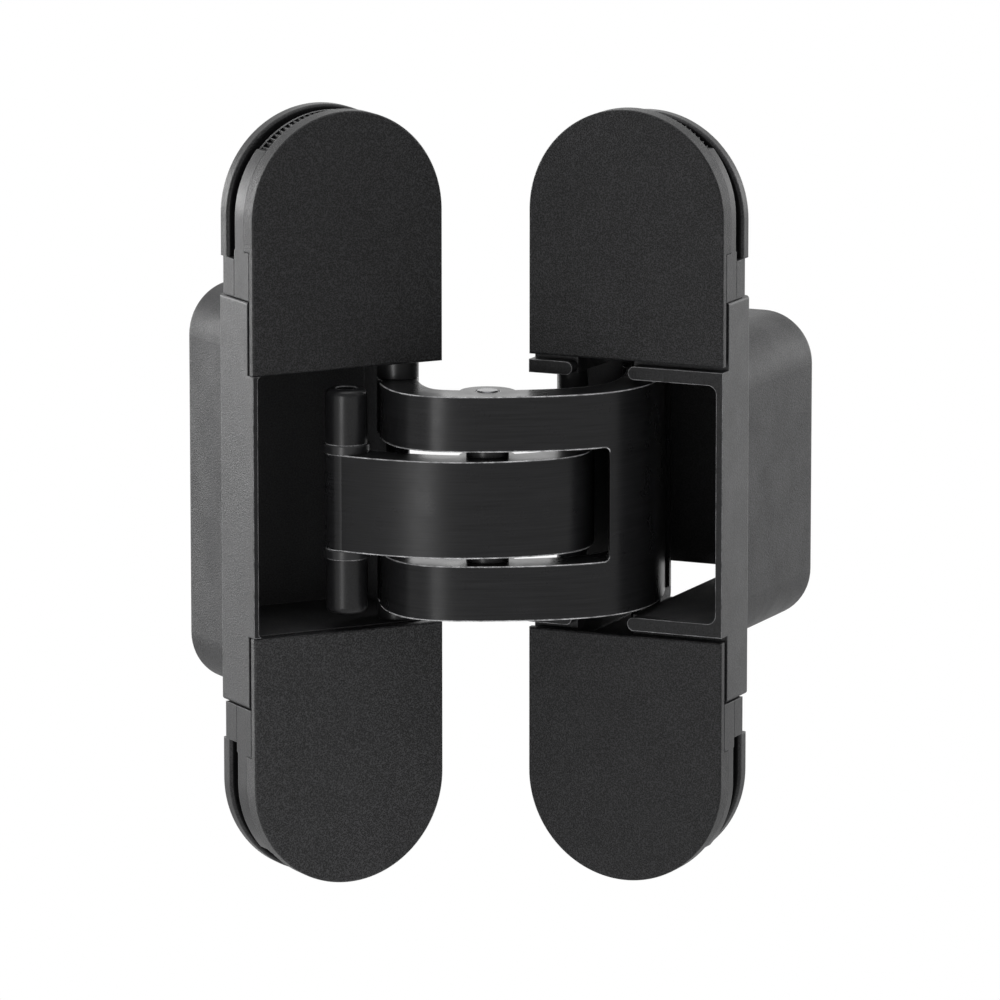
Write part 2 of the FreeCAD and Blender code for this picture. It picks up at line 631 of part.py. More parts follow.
def arm_pieces():
    """Arms, pins, sleeves, washers and rollers."""
    washer_low = CENTRE_ARM_HALF_H + WASHER_GAP
    washer_high = NOTCH_HALF_H - WASHER_GAP
    outside = ARM_HALF_H + WASHER_GAP
    frame_wall = FRAME.pocket_half_h - WASHER_GAP
    door_wall = DOOR.pocket_half_h - WASHER_GAP
    roller_top = DOOR.pocket_half_h + TROUGH_DEPTH - RUN_GAP
    pieces = {
        "fork_arm": fork_arm(),
        "centre_arm": centre_arm(),
        "front_pin": pin(FRONT_PIN_R, ARM_HALF_H - SLEEVE_DOME_R / 2, FRONT_PIN),
        "centre_pin": pin(CENTRE_PIN_R, ARM_HALF_H + PIN_CHAMFER / 2, CENTRE),
        "frame_pivot_pin": pin(PIVOT_PIN_R, FRAME.pocket_half_h + PIN_SOCKET - RUN_GAP,
                               FRAME_PIVOT),
        "door_pivot_pin": pin(PIVOT_PIN_R, DOOR.pocket_half_h + PIN_SOCKET - RUN_GAP,
                              DOOR_PIVOT),
        "roller_pin": pin(ROLLER_PIN_R, roller_top, ROLLER),
    }
    rings = (
        ("centre_washer", HUB_R, CENTRE_PIN_R, washer_low, washer_high, CENTRE),
        ("front_washer", WASHER_R, FRONT_PIN_R, washer_low, washer_high, FRONT_PIN),
        ("door_spacer", SPACER_R, PIVOT_PIN_R, washer_low, door_wall, DOOR_PIVOT),
        ("frame_washer", PIVOT_BOSS_R, PIVOT_PIN_R, outside, frame_wall, FRAME_PIVOT),
        ("roller", ROLLER_R, ROLLER_PIN_R, outside, roller_top - PIN_CHAMFER, ROLLER),
    )
    for name, outer_r, pin_r, low, high, place in rings:
        pieces[f"upper_{name}"] = ring(outer_r, pin_r + SHAFT_CLEAR, low, high, place)
        pieces[f"lower_{name}"] = ring(outer_r, pin_r + SHAFT_CLEAR, -high, -low, place)
    sleeve_low = NOTCH_HALF_H
    pieces["upper_sleeve"] = sleeve(sleeve_low, ARM_HALF_H, FRONT_PIN)
    pieces["lower_sleeve"] = sleeve(-ARM_HALF_H, -sleeve_low, FRONT_PIN)
    return pieces


def main():
    """Build every piece and write one file for each."""
    pieces = {"frame_casing": casing(FRAME), "door_casing": to_door(door_casing())}
    pieces.update(leaf_pieces(FRAME, lambda shape: shape))
    pieces.update(leaf_pieces(DOOR, to_door))
    pieces.update(arm_pieces())
    os.makedirs("parts", exist_ok=True)
    for name, shape in pieces.items():
        volume = round(shape.Volume, 1)
        print(name, "solids", len(shape.Solids), "volume", volume, "valid", shape.isValid())
        shape.exportStep(f"parts/{name}.step")
    print("share of the swing at each pivot", round(PIVOT_SHARE, 5))
    print("share of the swing at the centre", round(CENTRE_SHARE, 5))


main()
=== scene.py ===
"""Looks of a matt black concealed door hinge, shown 128 degrees open.

Every length is in metres unless its name says otherwise. The frame leaf is square to the axes and
its visible face looks along -Y.
"""

import logging
import math
from collections.abc import Callable
from dataclasses import dataclass, replace
from enum import Enum
from functools import cached_property
from typing import Any

import bpy
from mathutils import Matrix, Vector


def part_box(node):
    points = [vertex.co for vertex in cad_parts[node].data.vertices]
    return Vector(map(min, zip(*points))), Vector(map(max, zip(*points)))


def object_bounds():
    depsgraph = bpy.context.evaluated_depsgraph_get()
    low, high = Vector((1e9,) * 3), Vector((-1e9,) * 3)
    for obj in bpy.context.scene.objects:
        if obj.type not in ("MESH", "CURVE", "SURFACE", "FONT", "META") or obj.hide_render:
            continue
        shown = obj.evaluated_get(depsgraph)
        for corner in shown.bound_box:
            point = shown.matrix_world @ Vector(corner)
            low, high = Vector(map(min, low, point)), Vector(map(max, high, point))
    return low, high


MM = 0.001

# Rays that the Bevel node sends out to round an edge.
BEVEL_SAMPLES = 6

# The edge mask starts and is full where the rounded normal and the face's own have these cosines.
EDGE_MASK_STARTS, EDGE_MASK_FULL = 0.97, 0.84

# The same on level edges, as the change in how far the normal rises.
LEVEL_EDGE_MASK_STARTS, LEVEL_EDGE_MASK_FULL = 0.08, 0.3

# A coat drifts in colour over clouds of this width, and gets up to this much lighter in them.
CLOUD_MM, CLOUD_LIGHTER = 9.0, 1.35

# The edge colour, wear and painted highlight alike, comes in patches of this width. Between noise
# levels it grows from its least share.
PATCH_MM, PATCH_LOW, PATCH_HIGH, LEAST_EDGE_SHARE = 1.6, 0.35, 0.6, 0.3

# Roughness drifts over this width, by this much either way, and never falls below a polish.
DRIFT_MM, DRIFT, POLISHED = 6.0, 0.06, 0.02

# Nearly all of a noise's values lie between these two.
NOISE_LOW, NOISE_HIGH = 0.25, 0.75

# Grinding lines run this many times as long as they are wide.
BRUSH_LENGTH = 50

# One period of the Wave texture's bands, in its own units.
WAVE_PERIOD = 6.28

# A face whose normal has less than this cosine with a direction looks back along it.
LOOKS_BACK = -0.9

WHITE = (1.0, 1.0, 1.0, 1.0)

log = logging.getLogger("hinge")

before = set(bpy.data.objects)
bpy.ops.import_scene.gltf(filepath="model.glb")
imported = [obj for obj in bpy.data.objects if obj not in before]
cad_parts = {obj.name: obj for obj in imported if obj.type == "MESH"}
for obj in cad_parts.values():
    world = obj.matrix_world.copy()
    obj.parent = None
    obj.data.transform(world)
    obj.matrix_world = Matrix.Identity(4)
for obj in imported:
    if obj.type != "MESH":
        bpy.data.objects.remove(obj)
CAD_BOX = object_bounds()


def linear(hex_colour: str) -> tuple[float, float, float, float]:
    """Turn an sRGB colour into the linear values that shaders use.

    Args:
        hex_colour: Six hex digits after a hash.

    Returns:
        Linear red, green, blue and an alpha of 1.
    """
    values = [int(hex_colour[i:i + 2], 16) / 255 for i in (1, 3, 5)]
    turned = [v / 12.92 if v <= 0.04045 else ((v + 0.055) / 1.055) ** 2.4 for v in values]
    return (turned[0], turned[1], turned[2], 1.0)


def add_node(tree: bpy.types.NodeTree, kind: str, settings: dict[str, Any] | None = None,
             inputs: dict[Any, Any] | None = None) -> bpy.types.Node:
    """Add a shader node with its settings and links.

    Args:
        tree: Node tree that receives the node.
        kind: Blender's type name of the node, without the word ShaderNode.
        settings: Attributes to set on the node.
        inputs: Input name or index to a value, or to an output socket that feeds it.

    Returns:
        The new node.
    """
    node = tree.nodes.new("ShaderNode" + kind)
    for name, value in (settings or {}).items():
        setattr(node, name, value)
    for name, value in (inputs or {}).items():
        if isinstance(value, bpy.types.NodeSocket):
            tree.links.new(value, node.inputs[name])
        else:
            node.inputs[name].default_value = value
    return node


class Grain(Enum):
    """How a surface was made, which sets the pattern that its bump follows."""

    POWDER = "sprayed powder, fused into low rounded pimples"
    MOULDED = "spark-eroded mould texture, fine and even"
    BRUSHED = "ground lengthways before coating, faint level lines"
    SMOOTH = "moulded or cast in a polished tool"
    TURNED = "turned or drawn bar, fine rings"


class Edges(Enum):
    """Which edges of a piece are rounded and take the edge colour."""

    ALL = "every edge"
    LEVEL = "only those between upright and level faces"


@dataclass(frozen=True)
class Finish:
    """One real finish: what it is, and what it gives the eye.

    Attributes:
        name: Material name.
        colour: Colour of the coat as sRGB hex.
        worn_and_highlight_colour: Colour on the edges, as sRGB hex: handling wear on some finishes,
            a painted highlight line on others.
        roughness: Mean roughness of the coat.
        metallic: 1 for bare metal, 0 for a coat or plastic.
        ior: Index of refraction of the coat.
        gloss: Strength of its reflections, where 0.5 is what the index alone gives.
        grain: How the surface was made.
        grain_mm: Distance between neighbouring pimples or rings.
        relief_mm: Height of the grain.
        relief_shade: How much darker the grain's dips and lighter its tops are painted, as painted
            shade and painted light, from 0 to 1.
        edge_mm: Radius that the coat or tool leaves on every edge.
        wear_and_highlight_share: How much of that edge colour shows on edges, from 0 to 1.
        edges: Which edges are rounded and take the edge colour.
    """

    name: str
    colour: str
    worn_and_highlight_colour: str
    roughness: float
    metallic: float
    ior: float
    gloss: float
    grain: Grain
    grain_mm: float
    relief_mm: float
    relief_shade: float
    edge_mm: float
    wear_and_highlight_share: float
    edges: Edges = Edges.ALL

    def material(self) -> bpy.types.Material:
        """Build the finish as a node material.

        Returns:
            The material, ready to be put in a slot.
        """
        made = bpy.data.materials.new(self.name)
        made.use_nodes = True
        made.diffuse_color = linear(self.colour)
        tree = made.node_tree
        tree.nodes.clear()
        place = add_node(tree, "TexCoord").outputs["Object"]
        rounded = add_node(tree, "Bevel", {"samples": BEVEL_SAMPLES}, {"Radius": self.edge_mm * MM})
        height = self.height(tree, place)
        edge = self.edge_mask(tree, rounded.outputs["Normal"])
        colour = self.coat_colour(tree, place, height, edge)
        rough = self.coat_roughness(tree, place)
        bump = add_node(tree, "Bump", None, {
            "Strength": 1.0, "Distance": self.relief_mm * MM, "Height": height,
            "Normal": self.softened(tree, rounded.outputs["Normal"], edge)})
        shader = add_node(tree, "BsdfPrincipled", None, {
            "Base Color": colour, "Roughness": rough, "Metallic": self.metallic,
            "IOR": self.ior, "Specular IOR Level": self.gloss,
            "Normal": bump.outputs["Normal"]})
        add_node(tree, "OutputMaterial", None, {"Surface": shader.outputs["BSDF"]})
        return made

    def edge_mask(self, tree: bpy.types.NodeTree, rounded: bpy.types.NodeSocket
                  ) -> bpy.types.NodeSocket:
        """Find the edges, where the rounded normal leaves the face's own.

        Args:
            tree: Node tree of the material.
            rounded: Normal with rounded edges.

        Returns:
            Socket that is 1 on an edge and 0 on open faces.
        """
        flat = add_node(tree, "NewGeometry").outputs["Normal"]
        if self.edges is Edges.ALL:
            agree = add_node(tree, "VectorMath", {"operation": "DOT_PRODUCT"}, {
                0: rounded, 1: flat})
            return add_node(tree, "MapRange", None, {
                "Value": agree.outputs["Value"], "From Min": EDGE_MASK_STARTS, "From Max": EDGE_MASK_FULL,
                "To Min": 0.0, "To Max": 1.0}).outputs["Result"]
        tilts = []
        for normal in (rounded, flat):
            rise = add_node(tree, "SeparateXYZ", None, {"Vector": normal}).outputs["Z"]
            tilts.append(add_node(tree, "Math", {"operation": "ABSOLUTE"}, {0: rise}))
        change = add_node(tree, "Math", {"operation": "SUBTRACT"}, {
            0: tilts[0].outputs["Value"], 1: tilts[1].outputs["Value"]})
        size = add_node(tree, "Math", {"operation": "ABSOLUTE"}, {0: change.outputs["Value"]})
        return add_node(tree, "MapRange", None, {
            "Value": size.outputs["Value"], "From Min": LEVEL_EDGE_MASK_STARTS,
            "From Max": LEVEL_EDGE_MASK_FULL, "To Min": 0.0, "To Max": 1.0}).outputs["Result"]

    def softened(self, tree: bpy.types.NodeTree, rounded: bpy.types.NodeSocket,
                 edge: bpy.types.NodeSocket) -> bpy.types.NodeSocket:
        """Take the rounded normal on the chosen edges and the face's own elsewhere.

        Args:
            tree: Node tree of the material.
            rounded: Normal with rounded edges.
            edge: 1 on the chosen edges and 0 elsewhere.

        Returns:
            Normal socket.
        """
        if self.edges is Edges.ALL:
            return rounded
        flat = add_node(tree, "NewGeometry").outputs["Normal"]
        change = add_node(tree, "VectorMath", {"operation": "SUBTRACT"}, {0: rounded, 1: flat})
        part = add_node(tree, "VectorMath", {"operation": "SCALE"}, {
            0: change.outputs["Vector"], "Scale": edge})
        return add_node(tree, "VectorMath", {"operation": "ADD"}, {
            0: part.outputs["Vector"], 1: flat}).outputs["Vector"]

    def coat_colour(self, tree: bpy.types.NodeTree, place: bpy.types.NodeSocket,
                    height: bpy.types.NodeSocket, edge: bpy.types.NodeSocket
                    ) -> bpy.types.NodeSocket:
        """Colour of the coat, a little uneven, with painted shade in the grain's dips and painted
        light on its tops, and with the edge colour along its edges: handling wear on some finishes,
        a painted highlight on others.

        Args:
            tree: Node tree of the material.
            place: Coordinates on the piece.
            height: Height of the grain, from 0 to 1.
            edge: 1 on edges and 0 on open faces.

        Returns:
            Colour socket.
        """
        cloud = add_node(tree, "TexNoise", None, {
            "Vector": place, "Scale": 1 / (CLOUD_MM * MM), "Detail": 3.0, "Roughness": 0.6})
        lighter = [min(1.0, value * CLOUD_LIGHTER) for value in linear(self.colour)[:3]]
        base = add_node(tree, "MixRGB", {"blend_type": "MIX"}, {
            "Fac": cloud.outputs["Fac"], "Color1": linear(self.colour),
            "Color2": (*lighter, 1.0)})
        # Painted shade in the grain's dips and painted light on its tops.
        shade = add_node(tree, "MapRange", None, {
            "Value": height, "From Min": NOISE_LOW, "From Max": NOISE_HIGH,
            "To Min": 1 - self.relief_shade, "To Max": 1 + self.relief_shade})
        grained = add_node(tree, "VectorMath", {"operation": "SCALE"}, {
            0: base.outputs["Color"], "Scale": shade.outputs["Result"]})
        # Edge colour in patches: handling wear, and on some finishes a painted highlight.
        patchy = add_node(tree, "TexNoise", None, {
            "Vector": place, "Scale": 1 / (PATCH_MM * MM), "Detail": 4.0, "Roughness": 0.65})
        patchy_edge_share = add_node(tree, "MapRange", None, {
            "Value": patchy.outputs["Fac"], "From Min": PATCH_LOW, "From Max": PATCH_HIGH,
            "To Min": self.wear_and_highlight_share * LEAST_EDGE_SHARE, "To Max": self.wear_and_highlight_share})
        amount = add_node(tree, "Math", {"operation": "MULTIPLY"}, {
            0: edge, 1: patchy_edge_share.outputs["Result"]})
        mixed = add_node(tree, "MixRGB", {"blend_type": "MIX"}, {
            "Fac": amount.outputs["Value"], "Color1": grained.outputs["Vector"],
            "Color2": linear(self.worn_and_highlight_colour)})
        return mixed.outputs["Color"]

    def coat_roughness(self, tree: bpy.types.NodeTree, place: bpy.types.NodeSocket
                       ) -> bpy.types.NodeSocket:
        """Roughness that drifts a little, as handled coats do.

        Args:
            tree: Node tree of the material.
            place: Coordinates on the piece.

        Returns:
            Roughness socket.
        """
        drift = add_node(tree, "TexNoise", None, {
            "Vector": place, "Scale": 1 / (DRIFT_MM * MM), "Detail": 4.0, "Roughness": 0.6})
        return add_node(tree, "MapRange", None, {
            "Value": drift.outputs["Fac"], "From Min": NOISE_LOW, "From Max": NOISE_HIGH,
            "To Min": max(POLISHED, self.roughness - DRIFT),
            "To Max": self.roughness + DRIFT}).outputs["Result"]

    def height(self, tree: bpy.types.NodeTree, place: bpy.types.NodeSocket
               ) -> bpy.types.NodeSocket:
        """Height of the surface's grain.

        Args:
            tree: Node tree of the material.
            place: Coordinates on the piece.

        Returns:
            Height socket, from 0 to 1.
        """
        scale = 1 / (self.grain_mm * MM)
        if self.grain is Grain.MOULDED:
            cells = add_node(tree, "TexVoronoi", {"feature": "SMOOTH_F1"}, {
                "Vector": place, "Scale": scale, "Smoothness": 0.6, "Randomness": 1.0})
            return cells.outputs["Distance"]
        if self.grain is Grain.TURNED:
            rings = add_node(tree, "TexWave", {"bands_direction": "Z"}, {
                "Vector": place, "Scale": scale / WAVE_PERIOD, "Distortion": 0.6, "Detail": 2.0})
            return rings.outputs["Fac"]
        if self.grain is Grain.BRUSHED:
            along = add_node(tree, "Mapping", None, {
                "Vector": place, "Scale": (1 / BRUSH_LENGTH, 1 / BRUSH_LENGTH, 1.0)})
            place = along.outputs["Vector"]
        grit = add_node(tree, "TexNoise", None, {
            "Vector": place, "Scale": scale, "Detail": 2.0, "Roughness": 0.5})
        return grit.outputs["Fac"]


# Polyester powder coat on die-cast zinc: fine orange peel that glints where light grazes it.
# Real pimples are about 0.1 mm apart, too fine to show here, so they are drawn at 0.22 mm.
POWDER_COATED_ZINC = Finish(
    name="powder_coated_zinc", colour="#222223", worn_and_highlight_colour="#6a6a6c", roughness=0.42, metallic=0.0,
    ior=1.5, gloss=0.24, grain=Grain.POWDER, grain_mm=0.22, relief_mm=0.035, relief_shade=1.0,
    edge_mm=0.2, wear_and_highlight_share=0.6)

# The same coat over the rear of the casting, which the spray reaches last: drier and duller.
DRY_COATED_ZINC = replace(
    POWDER_COATED_ZINC, name="dry_coated_zinc", worn_and_highlight_colour="#303032", roughness=0.5, gloss=0.17,
    relief_mm=0.045, edge_mm=0.3, wear_and_highlight_share=0.2)

# Plates and slides: a darker copy of the casing's coat, painted shade that keeps their upturned arcs
# from reading bright under the top light.
PLATE_PAINTED_SHADE = replace(
    POWDER_COATED_ZINC, name="plate_zinc_painted_shade", colour="#1d1d1e", gloss=0.19)

# The front of the rim around the mouth: dark faces, with a near-white painted highlight line along
# each edge.
RIM_PAINTED_EDGE_HIGHLIGHT = replace(
    POWDER_COATED_ZINC, name="rim_zinc_painted_edge_highlight", colour="#121213", worn_and_highlight_colour="#b8b8ba", gloss=0.2,
    edge_mm=0.24, wear_and_highlight_share=0.85)

# Inside the pockets the coat is painted lighter, as painted light: dark grey rather than a black
# hole.
POCKET_PAINTED_LIGHT = replace(
    POWDER_COATED_ZINC, name="pocket_zinc_painted_light", colour="#323233", roughness=0.6, gloss=0.18,
    relief_shade=0.4)

# Faces in the narrow gaps and the slides' teeth: dead black painted shade, the teeth's edges a
# little paler as painted glints.
GAP_PAINTED_SHADE = replace(
    POWDER_COATED_ZINC, name="gap_zinc_painted_shade", colour="#09090a", worn_and_highlight_colour="#48484a", roughness=0.5,
    gloss=0.12, wear_and_highlight_share=0.5)

# Punched steel shims, oiled black, near-black as painted shade of the gap behind each cover, with a
# near-white painted highlight line along their edges.
SHIM_PAINTED_SHADE_AND_HIGHLIGHT = Finish(
    name="steel_shim_painted_shade_and_highlight", colour="#0c0c0d", worn_and_highlight_colour="#c0c0c2", roughness=0.35, metallic=0.0,
    ior=1.5, gloss=0.15, grain=Grain.SMOOTH, grain_mm=0.5, relief_mm=0.002, relief_shade=0.1,
    edge_mm=0.12, wear_and_highlight_share=0.9)

# ABS covers from a spark-eroded mould: dead matt, with a fine even sparkle and little wear.
# The mould's pits are about 0.05 mm apart, too fine to show here, so they are drawn at 0.18 mm.
MOULDED_ABS = Finish(
    name="moulded_abs", colour="#202021", worn_and_highlight_colour="#343436", roughness=0.5, metallic=0.0,
    ior=1.5, gloss=0.29, grain=Grain.MOULDED, grain_mm=0.18, relief_mm=0.05, relief_shade=1.0,
    edge_mm=0.22, wear_and_highlight_share=0.3)

# Darker copies of the same moulding, as painted shade: some covers read a shade darker than the
# others.
FRAME_COVER_PAINTED_SHADE = replace(MOULDED_ABS, name="moulded_abs_painted_shade_frame", colour="#181819", gloss=0.24)
DOOR_COVER_PAINTED_SHADE = replace(MOULDED_ABS, name="moulded_abs_painted_shade_door", colour="#19191a", gloss=0.215)

# Arms ground lengthways and dipped black over zinc: near-gloss faces, with a near-white painted
# highlight line along their top and bottom edges.
# The grinding lines are about 0.05 mm apart, too fine to show here, so they are drawn at 0.16 mm.
DIPPED_ZINC_PAINTED_EDGES = Finish(
    name="dipped_zinc_arm_painted_edges", colour="#161617", worn_and_highlight_colour="#f0f0f2", roughness=0.3, metallic=0.0,
    ior=1.5, gloss=0.18, grain=Grain.BRUSHED, grain_mm=0.16, relief_mm=0.003, relief_shade=0.4,
    edge_mm=0.32, wear_and_highlight_share=0.9, edges=Edges.LEVEL)

# Pins and sleeves ground round, then dipped black: satin, paler along the light's side, with a
# near-white painted highlight along their top and bottom edges.
# The dip's grain, about 0.05 mm, is too fine to show here and is drawn at 0.2 mm.
DIPPED_STEEL_PAINTED_EDGES = Finish(
    name="dipped_steel_pin_painted_edges", colour="#121213", worn_and_highlight_colour="#f0f0f2", roughness=0.34, metallic=0.0,
    ior=1.5, gloss=0.26, grain=Grain.POWDER, grain_mm=0.2, relief_mm=0.006, relief_shade=0.6,
    edge_mm=0.25, wear_and_highlight_share=0.7, edges=Edges.LEVEL)

# Blackened steel pivot pins, their ends ground bright where they were pressed in.
BLACKENED_STEEL = Finish(
    name="blackened_steel", colour="#4a4a4c", worn_and_highlight_colour="#c8c8ca", roughness=0.25, metallic=1.0,
    ior=1.5, gloss=0.5, grain=Grain.SMOOTH, grain_mm=0.3, relief_mm=0.004, relief_shade=0.25,
    edge_mm=0.2, wear_and_highlight_share=0.9)

# Black oxide screws: dark and slightly oily, with the fine rings that turning leaves.
# The tool's feed leaves rings about 0.1 mm apart, too fine to show, so they are drawn at 0.25 mm.
BLACK_OXIDE = Finish(
    name="black_oxide_steel", colour="#2c2c2e", worn_and_highlight_colour="#6a6a6c", roughness=0.35, metallic=1.0,
    ior=1.5, gloss=0.5, grain=Grain.TURNED, grain_mm=0.25, relief_mm=0.003, relief_shade=0.1,
    edge_mm=0.12, wear_and_highlight_share=0.6)

# Acetal washers and rollers: smooth, waxy black.
ACETAL = Finish(
    name="acetal_bearing", colour="#1a1a1b", worn_and_highlight_colour="#4a4a4b", roughness=0.32, metallic=0.0,
    ior=1.48, gloss=0.35, grain=Grain.SMOOTH, grain_mm=0.5, relief_mm=0.003, relief_shade=0.1,
    edge_mm=0.2, wear_and_highlight_share=0.5, edges=Edges.LEVEL)


class Shop:
    """Makes each finish once and puts it on pieces."""

    def __init__(self) -> None:
        """Start with no material made."""
        self.made: dict[str, bpy.types.Material] = {}

    def of(self, finish: Finish) -> bpy.types.Material:
        """Fetch a finish's material, making it the first time.

        Args:
            finish: The finish wanted.

        Returns:
            Its material.
        """
        if finish.name not in self.made:
            self.made[finish.name] = finish.material()
        return self.made[finish.name]

    def dress(self, node: str, finish: Finish) -> None:
        """Give a piece its finish.

        Args:
            node: Name of the piece.
            finish: Finish that it gets.
        """
        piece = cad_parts[node]
        piece.data.materials.clear()
        piece.data.materials.append(self.of(finish))
        log.info("%s is %s", node, finish.name)

    def dress_part(self, node: str, finish: Finish,
                   chosen: Callable[[bpy.types.MeshPolygon], bool]) -> None:
        """Give some faces of a piece a finish of their own.

        Args:
            node: Name of the piece, already dressed.
            finish: Finish of the chosen faces.
            chosen: Tells whether a face gets it.
        """
        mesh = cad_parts[node].data
        mesh.materials.append(self.of(finish))
        last = len(mesh.materials) - 1
        for face in mesh.polygons:
            if chosen(face):
                face.material_index = last
        log.info("%s is partly %s", node, finish.name)


@dataclass
class Leaf:
    """One leaf: casing, end plates, slides, shims, covers and screws.

    Attributes:
        side: Which leaf.
        turn: Direction into the wood, degrees from +Y towards +X.
        rear_start: Depth behind the face at which the casing's rear body begins.
        pocket_half_h: Half the height of the pocket.
        covers: Finish of the cover at each end.
        pocket_half_w: Half a width that lies between the pocket's walls and the casing's sides.
        teeth_from: Height above which the slide is a fan of teeth.
        rim_depth: Depth behind the face within which a face belongs to the rim, and least
            distance by which a wall's plane clears the pocket's middle.
        back_wall_from: Least depth of the pocket's back wall.
        slack: Height added to the pocket's, so that faces at its very end count.
        ends: Names of the leaf's ends.
    """

    side: str
    turn: float
    rear_start: float
    pocket_half_h: float
    covers: dict[str, Finish]
    pocket_half_w: float = 14.3 * MM
    teeth_from: float = 50.3 * MM
    rim_depth: float = 1.0 * MM
    back_wall_from: float = 5.0 * MM
    slack: float = 0.1 * MM
    ends: tuple[str, str] = ("upper", "lower")

    @property
    def into(self) -> Vector:
        """Direction into the wood."""
        turn = math.radians(self.turn)
        return Vector((math.sin(turn), math.cos(turn), 0))

    @property
    def across(self) -> Vector:
        """Level direction along the leaf's face."""
        return self.into.cross(Vector((0, 0, 1)))

    def reach(self, node: str, along: Vector) -> tuple[float, float]:
        """Find how far a piece reaches along a direction.

        Args:
            node: Name of the piece.
            along: The direction.

        Returns:
            Its least and greatest distance along it.
        """
        places = [vertex.co.dot(along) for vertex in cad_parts[node].data.vertices]
        return min(places), max(places)

    @cached_property
    def face(self) -> float:
        """Distance of the leaf's face along the direction into the wood."""
        return self.reach(f"{self.side}_upper_cover", self.into)[0]

    @cached_property
    def middle(self) -> float:
        """Distance of the leaf's middle along its face."""
        return sum(self.reach(f"{self.side}_upper_cover", self.across)) / 2

    def depth(self, polygon: bpy.types.MeshPolygon) -> float:
        """Depth of a mesh face's centre behind the leaf's face."""
        return polygon.center.dot(self.into) - self.face

    def looks_out(self, polygon: bpy.types.MeshPolygon) -> bool:
        """Tell whether a mesh face looks out of the wood."""
        return polygon.normal.dot(self.into) < LOOKS_BACK

    def in_pocket(self, polygon: bpy.types.MeshPolygon) -> bool:
        """Tell whether a mesh face lies inside the pocket and looks at its middle.

        Args:
            polygon: A face of the casing.

        Returns:
            True for the pocket's walls and its back wall.
        """
        aside = polygon.center.dot(self.across) - self.middle
        height = polygon.center.z
        outward = aside * polygon.normal.dot(self.across) + height * polygon.normal.z
        back_wall = self.depth(polygon) > self.back_wall_from and self.looks_out(polygon)
        return (self.depth(polygon) > self.rim_depth and abs(aside) < self.pocket_half_w
                and abs(height) < self.pocket_half_h + self.slack
                and (outward < -self.rim_depth or back_wall))

    def on_rim(self, polygon: bpy.types.MeshPolygon) -> bool:
        """Tell whether a mesh face is the front of the rim around the mouth."""
        return self.looks_out(polygon) and self.depth(polygon) < self.rim_depth

    def at_rear(self, polygon: bpy.types.MeshPolygon) -> bool:
        """Tell whether a mesh face belongs to the rear body."""
        return self.depth(polygon) > self.rear_start and not self.in_pocket(polygon)

    def has_teeth(self, polygon: bpy.types.MeshPolygon) -> bool:
        """Tell whether a mesh face belongs to the teeth at a slide's tip."""
        return abs(polygon.center.z) > self.teeth_from

    def build(self, shop: Shop) -> None:
        """Dress the leaf's pieces.

        Args:
            shop: Maker of the finishes.
        """
        self.dress_casing(shop)
        shop.dress(f"{self.side}_clamp_screws", BLACK_OXIDE)
        shop.dress(f"{self.side}_pivot_pin", BLACKENED_STEEL)
        for end in self.ends:
            self.dress_end(shop, end)

    def dress_casing(self, shop: Shop) -> None:
        """Coat the casing, drier at the rear, painted lighter in its pocket as painted light, and
        with a painted highlight line along the rim's edges.

        Args:
            shop: Maker of the finishes.
        """
        casing = f"{self.side}_casing"
        shop.dress(casing, POWDER_COATED_ZINC)
        shop.dress_part(casing, DRY_COATED_ZINC, self.at_rear)
        # The pocket's faces are painted lighter, as painted light.
        shop.dress_part(casing, POCKET_PAINTED_LIGHT, self.in_pocket)
        # The rim's front faces get a painted highlight line along each edge.
        shop.dress_part(casing, RIM_PAINTED_EDGE_HIGHLIGHT, self.on_rim)

    def dress_end(self, shop: Shop, end: str) -> None:
        """Dress the pieces of one end, with painted shade: plates and slides a darker copy of the
        coat, and dead black on the faces in the gap behind the slide and on its teeth.

        Args:
            shop: Maker of the finishes.
            end: Which end.
        """
        plate = f"{self.side}_{end}_plate"
        slide = f"{self.side}_{end}_slide"
        # Plates and slides get a darker copy of the coat, as painted shade.
        shop.dress(plate, PLATE_PAINTED_SHADE)
        shop.dress(slide, PLATE_PAINTED_SHADE)
        # Shims: near-black painted shade with a painted highlight line along their edges.
        shop.dress(f"{self.side}_{end}_shim", SHIM_PAINTED_SHADE_AND_HIGHLIGHT)
        shop.dress(f"{self.side}_{end}_cover", self.covers[end])
        shop.dress(f"{self.side}_{end}_adjuster", BLACK_OXIDE)
        # Dead black painted shade on the plate's front faces in the gap and on the slide's teeth.
        shop.dress_part(plate, GAP_PAINTED_SHADE, self.looks_out)
        shop.dress_part(slide, GAP_PAINTED_SHADE, self.has_teeth)


